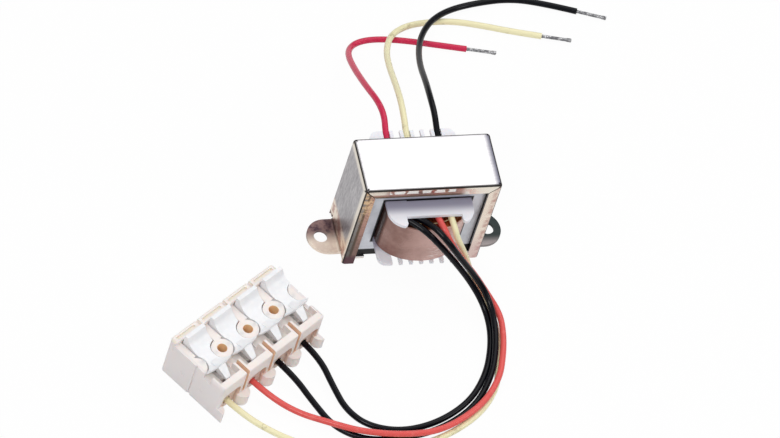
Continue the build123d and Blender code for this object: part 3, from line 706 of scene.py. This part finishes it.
def plated_sheet():
    """Bright plating: mirror top, grained sides, bloom on lips and ears, painted light and shade, dark bend
    lines.
    """
    material, tree, shader = new_finish("plated_sheet")
    place = object_place(tree)
    x, y, z = split(tree, place)
    below_top = calc(tree, "SUBTRACT", FRAME_TOP, z)
    from_side = calc(tree, "SUBTRACT", HALF_WIDTH, calc(tree, "ABSOLUTE", x))
    from_lip = calc(tree, "SUBTRACT", HALF_DEPTH, calc(tree, "ABSOLUTE", y))
    from_front = calc(tree, "ADD", y, HALF_DEPTH)
    on_lip = ramp(tree, from_lip, *LIP_FACE)
    on_side = ramp(tree, from_side, *SIDE_FACE)
    on_ear = times(tree, ramp(tree, z, *EAR_LEVEL), opposite(tree, on_lip))

    top, drawn = bright_top(tree, place, x, y, from_side)
    walls, streaks = side_walls(tree, place, z, below_top, from_front)
    lips, mottle, pale_lip = folded_lips(tree, place, x, z, below_top, from_side)
    ears, pale_ear = turned_ears(tree, x, y, mottle)
    colour = mix(tree, on_side, top, walls)
    colour = mix(tree, on_lip, colour, lips)
    colour = mix(tree, on_ear, colour, ears)
    lines = painted_dark_lines(tree, z, below_top, from_side, from_lip)
    # Painted dark lines along the bends and on the cut edges.
    feed(tree, shader.inputs["Base Color"], tint(tree, colour, PAINTED_BEND_DARK, lines, strength=0.92))

    # Where highlights and reflections are painted, the sheet is less metallic.
    pale = most(tree, times(tree, pale_lip, on_lip), times(tree, pale_ear, on_ear))
    feed(tree, shader.inputs["Metallic"], opposite(tree, times(tree, pale, 0.85)))
    worked = most(tree, on_lip, on_ear)
    rough = vary(tree, on_side, base=0.12, amount=0.22)
    rough = vary(tree, worked, base=rough, amount=0.1)
    feed(tree, shader.inputs["Roughness"], vary(tree, drawn, base=rough, amount=0.08))
    height = calc(tree, "ADD", times(tree, mottle, worked), times(tree, streaks, on_side))
    bump(tree, shader, height, strength=0.14, distance=0.1 * MM)
    return material


plating = plated_sheet()
print("plated sheet:", len(plating.node_tree.nodes), "nodes")

# %% [markdown]
# ## Core laminations
# The core is a pile of thin silicon-steel sheets. From the front only the flat of the first sheet shows, a
# smooth bluish grey. From the sides and from below, the cut edges show as fine lines, one for each sheet.
# Beside the coil, by the lips and at the foot the face is painted dark as shade.

# %% Lamination finish
SHEET_PITCH = 0.5 * MM
SHEET_GREY = srgb(226, 229, 236)
SHEET_DARK = srgb(110, 112, 122)
CORE_SHADE_DARK = srgb(14, 13, 15)
GAP_SHARE = 0.24
CORE_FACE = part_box("e_lamination_stack")[1].y
FIRST_SHEET = (CORE_FACE - 0.3 * MM, CORE_FACE - 0.05 * MM)
WINDOW_EDGE = 14.0 * MM
WINDOW_LOW, WINDOW_HIGH = 8.6 * MM, 31.4 * MM
BY_COIL = (WINDOW_EDGE + 0.75 * MM, WINDOW_EDGE + 0.45 * MM)
BY_LIP = (18.1 * MM, 18.5 * MM)
BY_FOOT = (5.4 * MM, 5.0 * MM)


def lamination_steel():
    """Stacked sheets: lines across the pile, and a smooth face with painted shade by the coil, lips and
    foot.
    """
    material, tree, shader = new_finish("lamination_steel")
    place = object_place(tree)
    x, y, z = split(tree, place)
    across = calc(tree, "ABSOLUTE", x)
    on_face = ramp(tree, calc(tree, "ABSOLUTE", y), *FIRST_SHEET)
    phase = calc(tree, "FRACT", calc(tree, "DIVIDE", y, SHEET_PITCH))
    gap = use(tree, band_group, value=phase, start=0.0, end=GAP_SHARE, softness=0.1)
    gap = times(tree, gap, opposite(tree, on_face))
    cloud = use(tree, stain_group, vector=place, scale=160.0, low=0.35, high=0.8)
    sheet = tint(tree, SHEET_GREY, SHEET_DARK, cloud, strength=0.3)
    sheet = tint(tree, sheet, SHEET_DARK, gap, strength=0.7)
    in_window = use(tree, band_group, value=z, start=WINDOW_LOW, end=WINDOW_HIGH, softness=0.6 * MM)
    # Painted shade: the face goes dark beside the coil, by the lips and at the foot.
    by_coil = times(tree, ramp(tree, across, *BY_COIL), in_window)
    painted_core_shade = most(tree, by_coil, ramp(tree, across, *BY_LIP), ramp(tree, z, *BY_FOOT))
    feed(tree, shader.inputs["Base Color"], tint(tree, sheet, CORE_SHADE_DARK, times(tree, painted_core_shade, on_face)))
    shader.inputs["Metallic"].default_value = 0.6
    feed(tree, shader.inputs["Roughness"], vary(tree, cloud, base=0.36, amount=0.15))
    bump(tree, shader, opposite(tree, gap), strength=0.25, distance=0.08 * MM)
    return material


print("sheets in the stack:", round(2 * CORE_FACE / SHEET_PITCH))

# %% [markdown]
# ## White mouldings
# The bobbin, the levers and the terminal block are injection mouldings. Plastic lets a little light in,
# which softens its shadows, so these finishes have some subsurface colour. The grain of the mould is a faint
# bump. The bobbin's flanges are painted grey towards the frame, as shade where less light gets to them.

# %% Moulded plastic finishes
BOBBIN_WHITE = srgb(240, 240, 247)
BOBBIN_SHADE = srgb(164, 160, 178)
LEVER_WHITE = srgb(250, 250, 251)
LEVER_SHADE = srgb(236, 237, 241)
MOULD_GRAIN = 5200.0
SHADE_REACH = 4.0 * MM


def let_light_in(shader, weight, spread, depth):
    """Some light goes into the plastic and comes out again nearby. Red goes farthest."""
    shader.inputs["Subsurface Weight"].default_value = weight
    shader.inputs["Subsurface Radius"].default_value = spread
    shader.inputs["Subsurface Scale"].default_value = depth


def moulding(name, light, shade, roughness, glow, shade_from=None):
    """A moulded plastic with faint clouding and mould grain. It can take painted shade towards the frame."""
    material, tree, shader = new_finish(name)
    place = object_place(tree)
    height = use(tree, grain_group, output="Height", vector=place, scale=MOULD_GRAIN)
    cloud = use(tree, grain_group, vector=place, scale=MOULD_GRAIN)
    share = cloud
    # Painted shade: grey towards the frame in place of the clouding.
    if shade_from is not None:
        outwards = calc(tree, "ABSOLUTE", split(tree, place)["Y"])
        share = ramp(tree, outwards, shade_from + SHADE_REACH, shade_from)
    feed(tree, shader.inputs["Base Color"], mix(tree, share, light, shade))
    feed(tree, shader.inputs["Roughness"], vary(tree, cloud, base=roughness, amount=0.14))
    let_light_in(shader, weight=glow, spread=(1.0, 0.7, 0.6), depth=1.2 * MM)
    bump(tree, shader, height, strength=0.06, distance=0.04 * MM)
    return material


print("mould grain", round(1000 / MOULD_GRAIN, 2), "mm")

# %% [markdown]
# ## The terminal block's ivory
# The block's ivory nylon turns tan where light has passed through it and where it is shaded: in the screw
# holes, the slits between the poles, the wire recesses, the cells and the feet of the dividers. That tan and
# brown is painted shade, tinted by light through the plastic, and the ends are painted a cooler grey as
# shade.
# Those places are known in the block's own frame, so the masks are built from coordinates that are turned to
# lie along the block.

# %% Block measures
BLOCK_TURN = math.radians(34.7)
BLOCK_PLACE = Vector((-61.7, -42.6, 0)) * MM
POLE_PITCH = 11.6 * MM
BLOCK_END = 22.3 * MM
BLOCK_FRONT = -11.5 * MM
DECK = 11.9 * MM
RIM = 14.4 * MM
LEDGE = 16.0 * MM
OFF_ENDS = (BLOCK_END, BLOCK_END - 0.4 * MM)
OFF_OUTER_WALLS = (BLOCK_END - 2.0 * MM, BLOCK_END - 3.0 * MM)


def block_places(tree, place):
    """In the block's frame: the way back, the height, and how far from the middle and from a pole wall."""
    moved = stretch(tree, place, shift=tuple(-BLOCK_PLACE))
    along, back, z = split(tree, stretch(tree, moved, turn=-BLOCK_TURN))
    poles = calc(tree, "DIVIDE", along, POLE_PITCH)
    from_wall = times(tree, calc(tree, "PINGPONG", poles, 0.5), POLE_PITCH)
    return back, z, calc(tree, "ABSOLUTE", along), from_wall


print("pole pitch", round(POLE_PITCH / MM, 1), "mm")

# %% Holes and slits
SCREW_HOLE = 1.7 * MM
SLIT_HALF = 0.9 * MM
FRONT_FRAME = -5.7 * MM
HOLE_EDGE = (SCREW_HOLE, SCREW_HOLE - 0.12 * MM)
SLIT_EDGE = (SLIT_HALF, SLIT_HALF - 0.12 * MM)
SLIT_DEPTH = (FRONT_FRAME, FRONT_FRAME - 0.3 * MM)
SLIT_TOP = (RIM - 0.02 * MM, RIM - 0.3 * MM)
SLIT_MOUTH = (BLOCK_FRONT - 0.05 * MM, BLOCK_FRONT + 0.15 * MM)


def hole_mask(tree, back, outwards, from_wall):
    """The screw holes, which stand on the walls between the poles."""
    squares = calc(tree, "ADD", times(tree, from_wall, from_wall), times(tree, back, back))
    in_hole = ramp(tree, calc(tree, "SQRT", squares), *HOLE_EDGE)
    return times(tree, in_hole, ramp(tree, outwards, *OFF_OUTER_WALLS))


def slit_mask(tree, back, z, from_wall, off_ends):
    """The slits that part the front frames."""
    near_wall = ramp(tree, from_wall, *SLIT_EDGE)
    in_front = ramp(tree, back, *SLIT_DEPTH)
    below_rim = ramp(tree, z, *SLIT_TOP)
    return times(tree, near_wall, in_front, off_ends, below_rim, ramp(tree, back, *SLIT_MOUTH))


print("screw holes", round(2 * SCREW_HOLE / MM, 1), "mm across")

# %% Recesses, cells and ledge
RECESS_HALF = 4.25 * MM
RECESS_EDGE = POLE_PITCH / 2 - RECESS_HALF
RECESS_TOP = 9.5 * MM
RECESS_BACK = -8.0 * MM
NEAR_POLE = (RECESS_EDGE - 0.1 * MM, RECESS_EDGE + 0.1 * MM)
BELOW_ARCH = (RECESS_TOP, RECESS_TOP - 0.3 * MM)
UPPER_RECESS = (3.0 * MM, 8.5 * MM)
CELL_FRONT, CELL_BACK = -9.1 * MM, 9.2 * MM
BELOW_DECK = (DECK, DECK - 1.6 * MM)
BAY_FRONT, BAY_BACK = 3.6 * MM, 9.3 * MM
DIVIDER_FOOT = (RIM - 0.1 * MM, DECK + 0.4 * MM)
CHANNEL_LOW, CHANNEL_HIGH = LEDGE - 0.7 * MM, LEDGE - 0.02 * MM
CHANNEL_FRONT = (9.6 * MM, 9.9 * MM)


def recess_masks(tree, back, z, from_wall):
    """The recesses round the wire entries, and the cells under the levers."""
    near_pole = ramp(tree, from_wall, *NEAR_POLE)
    behind_face = use(tree, band_group, value=back, start=BLOCK_FRONT, end=RECESS_BACK, softness=0.2 * MM)
    in_recess = times(tree, near_pole, behind_face, ramp(tree, z, *BELOW_ARCH))
    inside = use(tree, band_group, value=back, start=CELL_FRONT, end=CELL_BACK, softness=0.3 * MM)
    return in_recess, times(tree, near_pole, inside, ramp(tree, z, *BELOW_DECK))


def foot_mask(tree, back, z, off_ends):
    """The moulded foot of each divider, in the bays behind the levers."""
    in_bay = use(tree, band_group, value=back, start=BAY_FRONT, end=BAY_BACK, softness=0.3 * MM)
    return times(tree, in_bay, ramp(tree, z, *DIVIDER_FOOT), off_ends)


def channel_mask(tree, back, z):
    """The shallow channel in the ledge at the back."""
    in_channel = use(tree, band_group, value=z, start=CHANNEL_LOW, end=CHANNEL_HIGH, softness=0.1 * MM)
    return times(tree, in_channel, ramp(tree, back, *CHANNEL_FRONT))


print("ledge", round(LEDGE / MM, 1), "mm above the table")

# %% Ivory block finish
BLOCK_IVORY = srgb(249, 241, 237)
BLOCK_SHADE = srgb(240, 229, 224)
BLOCK_TAN = srgb(226, 192, 170)
BLOCK_BROWN = srgb(206, 150, 108)
HOLE_AMBER = srgb(250, 212, 166)
LEDGE_YELLOW = srgb(240, 234, 216)
SLIT_TAN = srgb(238, 204, 174)
END_SHADE_GREY = srgb(232, 226, 226)


def ivory_block():
    """Ivory plastic, painted tan as shade in the holes, slits and recesses, and painted grey on the ends."""
    material, tree, shader = new_finish("ivory_block")
    place = object_place(tree)
    back, z, outwards, from_wall = block_places(tree, place)
    off_ends = ramp(tree, outwards, *OFF_ENDS)
    in_recess, in_cell = recess_masks(tree, back, z, from_wall)
    foot = foot_mask(tree, back, z, off_ends)
    # Painted shade: tan in the recesses and cells and at the divider feet, brown in the upper recesses and
    # feet.
    warm_shade = most(tree, in_recess, in_cell, times(tree, foot, 0.9))
    upper_recess = times(tree, in_recess, ramp(tree, z, *UPPER_RECESS))
    brown = most(tree, times(tree, upper_recess, 0.5), times(tree, foot, 0.4))

    cloud = use(tree, grain_group, vector=place, scale=900.0)
    height = use(tree, grain_group, output="Height", vector=place, scale=MOULD_GRAIN)
    colour = mix(tree, cloud, BLOCK_IVORY, BLOCK_SHADE)
    # Painted shade: the ends of the block are greyer.
    colour = tint(tree, colour, END_SHADE_GREY, opposite(tree, off_ends), strength=0.8)
    colour = tint(tree, colour, LEDGE_YELLOW, channel_mask(tree, back, z), strength=0.7)
    colour = tint(tree, colour, BLOCK_TAN, warm_shade, strength=0.6)
    colour = tint(tree, colour, BLOCK_BROWN, brown)
    # Painted shade: tan in the slits and amber in the screw holes.
    colour = tint(tree, colour, SLIT_TAN, slit_mask(tree, back, z, from_wall, off_ends), strength=0.9)
    colour = tint(tree, colour, HOLE_AMBER, hole_mask(tree, back, outwards, from_wall))
    feed(tree, shader.inputs["Base Color"], colour)
    feed(tree, shader.inputs["Roughness"], vary(tree, cloud, base=0.34, amount=0.16))
    let_light_in(shader, weight=0.3, spread=(1.0, 0.6, 0.45), depth=1.6 * MM)
    bump(tree, shader, height, strength=0.07, distance=0.05 * MM)
    return material


ivory = ivory_block()
print("ivory block:", len(ivory.node_tree.nodes), "nodes")

# %% [markdown]
# ## Coil tape
# The coil is closed with a few turns of thin brown polyester tape. It is glossy and it creases: long flat
# creases run round the coil, and the film is darker towards the left. Light ridges low on the right are
# painted highlights, and both edges of the tape are painted dark as shadow where the coil meets the core.

# %% Tape finish
TAPE_BROWN = srgb(232, 188, 178)
TAPE_DARK = srgb(128, 82, 68)
TAPE_HIGHLIGHT = srgb(255, 244, 240)
TAPE_EDGE_SHADOW = srgb(48, 32, 28)
COIL_HALF = 13.5 * MM
CREASE_STRETCH = (130, 130, 1500)
CREST_STRETCH = (420, 420, 2600)
CREASED_SIDE = (-1.0 * MM, 6.0 * MM)
CREST_SIDE = (-2.0 * MM, 4.0 * MM)
CREST_HEIGHT = (24.0 * MM, 18.0 * MM)
DARKER_LEFT = (4.0 * MM, -9.0 * MM)
TAPE_CORNER = (COIL_HALF - 0.9 * MM, COIL_HALF - 0.2 * MM)


def coil_tape():
    """Brown film, darker leftwards, creases round the coil, painted highlights low right, painted shadow at
    edges.
    """
    material, tree, shader = new_finish("coil_tape")
    place = object_place(tree)
    parts = split(tree, place)
    x, z = parts["X"], parts["Z"]
    patches = use(tree, stain_group, vector=place, scale=110.0, low=0.35, high=0.72)
    # Darker towards the left.
    darker_left = times(tree, ramp(tree, x, *DARKER_LEFT), 0.7)
    colour = mix(tree, vary(tree, patches, base=darker_left, amount=0.3), TAPE_BROWN, TAPE_DARK)
    # Painted highlights on the raised creases, low on the right.
    crest_place = stretch(tree, place, CREST_STRETCH)
    crest_highlights = use(tree, stain_group, vector=crest_place, scale=1.0, low=0.54, high=0.62)
    low_right = times(tree, ramp(tree, x, *CREST_SIDE), ramp(tree, z, *CREST_HEIGHT))
    colour = tint(tree, colour, TAPE_HIGHLIGHT, times(tree, crest_highlights, low_right), strength=0.8)
    # Painted shadow at both edges of the tape, where the coil meets the core.
    edge_shadow = ramp(tree, calc(tree, "ABSOLUTE", x), *TAPE_CORNER)
    feed(tree, shader.inputs["Base Color"], tint(tree, colour, TAPE_EDGE_SHADOW, edge_shadow, strength=0.9))
    feed(tree, shader.inputs["Roughness"], vary(tree, patches, base=0.24, amount=0.14))
    shader.inputs["Coat Weight"].default_value = 0.35
    shader.inputs["Coat Roughness"].default_value = 0.14
    crease_place = stretch(tree, place, CREASE_STRETCH)
    creases = add(tree, "ShaderNodeTexNoise", vector=crease_place, scale=1.0, detail=6.0, roughness=0.66)
    creased = vary(tree, ramp(tree, x, *CREASED_SIDE), base=0.15, amount=0.85)
    bump(tree, shader, times(tree, creases.outputs["Fac"], creased), strength=0.3, distance=0.3 * MM)
    return material


print("taped coil", round(2 * COIL_HALF / MM, 1), "mm wide")

# %% [markdown]
# ## Lead insulation and wire
# Vinyl insulation is smooth and shiny, with finger marks and the odd scuff. The finish of each lead is the
# same recipe with other colours, and so is the film in the coil. The tinned wire is a soft grey metal that
# the solder has left uneven. The rails, the springs and the copper wire share its recipe.

# %% Lead and wire finishes
# The colour of each, then that of its scuffs or dull spots
CRIMSON = (srgb(208, 40, 80), srgb(232, 120, 150))
CORAL = (srgb(228, 90, 86), srgb(242, 140, 132))
PALE_YELLOW = (srgb(244, 237, 194), srgb(156, 142, 104))
BLACK = (srgb(3, 4, 12), srgb(18, 18, 34))
FILM = (srgb(226, 206, 160), srgb(190, 166, 120))
TIN = (srgb(206, 206, 208), srgb(120, 120, 124))
BRASS = (srgb(216, 180, 106), srgb(170, 130, 70))
SPRING = (srgb(232, 230, 228), srgb(206, 202, 198))
COPPER = (srgb(200, 118, 70), srgb(140, 72, 40))


def vinyl(name, colour, scuff, amount, roughness, gloss=0.35):
    """Shiny lead insulation with scuffs."""
    material, tree, shader = new_finish(name)
    place = object_place(tree)
    marks = use(tree, stain_group, vector=place, scale=260.0, low=0.56, high=0.7)
    height = use(tree, grain_group, output="Height", vector=place, scale=3000.0)
    feed(tree, shader.inputs["Base Color"], tint(tree, colour, scuff, marks, strength=amount))
    shader.inputs["Specular IOR Level"].default_value = gloss
    feed(tree, shader.inputs["Roughness"], vary(tree, marks, base=roughness, amount=0.15))
    bump(tree, shader, height, strength=0.05, distance=0.03 * MM)
    return material


def drawn_metal(name, light, dark, roughness):
    """Plain wire or strip: metal with a cloudy surface."""
    material, tree, shader = new_finish(name)
    place = object_place(tree)
    cloud = use(tree, stain_group, vector=place, scale=900.0, low=0.35, high=0.65)
    feed(tree, shader.inputs["Base Color"], mix(tree, cloud, light, dark))
    shader.inputs["Metallic"].default_value = 1.0
    feed(tree, shader.inputs["Roughness"], vary(tree, cloud, base=roughness, amount=0.2))
    bump(tree, shader, cloud, strength=0.1, distance=0.05 * MM)
    return material


print("lead and wire recipes ready")

# %% [markdown]
# ## Put the finishes on
# Each solid gets the finish that its piece has. The levers sit on bodies of their own, but one finish serves
# all four.

# %% Assign finishes
finishes = {
    "bright_plated_sheet": plating,
    "core_steel": lamination_steel(),
    "bobbin_white": moulding(
        "bobbin_white", BOBBIN_WHITE, BOBBIN_SHADE, roughness=0.3, glow=0.2, shade_from=HALF_DEPTH
    ),
    "lever_white": moulding("lever_white", LEVER_WHITE, LEVER_SHADE, roughness=0.26, glow=0.15),
    "block_ivory": ivory,
    "coil_tape": coil_tape(),
    "lead_crimson": vinyl("lead_crimson", *CRIMSON, amount=0.25, roughness=0.24),
    "lead_coral": vinyl("lead_coral", *CORAL, amount=0.3, roughness=0.26),
    "lead_yellow": vinyl("lead_yellow", *PALE_YELLOW, amount=0.55, roughness=0.28),
    "lead_black": vinyl("lead_black", *BLACK, amount=0.5, roughness=0.2, gloss=0.2),
    "tinned_wire": drawn_metal("tinned_wire", *TIN, roughness=0.24),
    "contact_brass": drawn_metal("contact_brass", *BRASS, roughness=0.25),
    "spring_steel": drawn_metal("spring_steel", *SPRING, roughness=0.55),
    "copper_wire": drawn_metal("copper_wire", *COPPER, roughness=0.3),
    "insulation_film": vinyl("insulation_film", *FILM, amount=0.4, roughness=0.4),
}


def dress(piece, finish):
    """Give a piece one finish all over."""
    piece.data.materials.clear()
    piece.data.materials.append(finish)


slot_of = {row["node"]: row["material_slot"] for row in frame["record"]["subparts"]}
for name, solid in nodes.items():
    dress(solid, finishes[slot_of[name]])
for lead in leads.values():
    dress(lead, finishes[lead["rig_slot"]])
for tip in tips.values():
    dress(tip, finishes["tinned_wire"])
print("finishes:", len(finishes))

# %% [markdown]
# ## The table
# The object stands on a white table. It is mostly plain white to the camera, and still takes a faint shadow.
# In a mirror it is a little darker, so that bright metal doesn't vanish against it.

# %% Floor
FLOOR_SIZE = 3.0
FLOOR_DROP = 0.02 * MM
FLOOR_WHITE = (0.9, 0.9, 0.9, 1)
FLOOR_SHARE = 0.95
FLOOR_MIRRORED = 0.8

bpy.ops.object.select_all(action="DESELECT")
bpy.ops.mesh.primitive_plane_add(size=FLOOR_SIZE, location=(0, 0, -FLOOR_DROP))
floor = bpy.context.active_object
floor.name = "white_table"
floor_finish, tree, shader = new_finish("white_table")
shader.inputs["Base Color"].default_value = FLOOR_WHITE
shader.inputs["Roughness"].default_value = 0.9
shader.inputs["Specular IOR Level"].default_value = 0.1
path = tree.nodes.new("ShaderNodeLightPath").outputs
white = vary(tree, path["Is Camera Ray"], base=FLOOR_MIRRORED, amount=1.0 - FLOOR_MIRRORED)
glow = add(tree, "ShaderNodeEmission", color=(1, 1, 1, 1), strength=white)
seen = most(tree, path["Is Camera Ray"], path["Is Glossy Ray"], path["Is Transmission Ray"])
blend = add(tree, "ShaderNodeMixShader", fac=times(tree, seen, FLOOR_SHARE))
tree.links.new(shader.outputs[0], blend.inputs[1])
tree.links.new(glow.outputs[0], blend.inputs[2])
tree.links.new(blend.outputs[0], tree.nodes["Material Output"].inputs["Surface"])
dress(floor, floor_finish)
print("table", FLOOR_SIZE, "m square")

# %% [markdown]
# ## The light
# A big box of light behind and above the object is what its mirror-like top shows, and two smaller boxes
# light it from the front left and the front right. The sky is a soft white that grows brighter upwards.

# %% Lights
SKY_LOW = 0.12
SKY_HIGH = 0.7
SKY_FULL = 0.8


def light_box(name, place, size, power):
    """A square soft light, aimed at the middle of the object."""
    bpy.ops.object.light_add(type="AREA", location=place)
    lamp = bpy.context.active_object
    lamp.name = name
    lamp.data.shape = "SQUARE"
    lamp.data.size = size
    lamp.data.energy = power
    lamp.rotation_mode = "QUATERNION"
    lamp.rotation_quaternion = (-Vector(place)).to_track_quat("-Z", "Y")


light_box("back_box", place=(0.30, 0.52, 0.74), size=0.85, power=2.2)
light_box("key_box", place=(-0.45, -0.55, 0.85), size=0.35, power=3.2)
light_box("right_box", place=(0.75, -0.30, 0.60), size=0.3, power=1.2)

world = bpy.data.worlds.new("studio")
bpy.context.scene.world = world
world.use_nodes = True
sky = world.node_tree
direction = sky.nodes.new("ShaderNodeTexCoord").outputs["Generated"]
level = add(
    sky, "ShaderNodeMapRange",
    value=split(sky, direction)["Z"], from_max=SKY_FULL, to_min=SKY_LOW, to_max=SKY_HIGH,
)
feed(sky, sky.nodes["Background"].inputs["Strength"], level.outputs["Result"])
sky.nodes["Background"].inputs["Color"].default_value = (1, 1, 1, 1)
bpy.context.scene.view_settings.view_transform = "Standard"
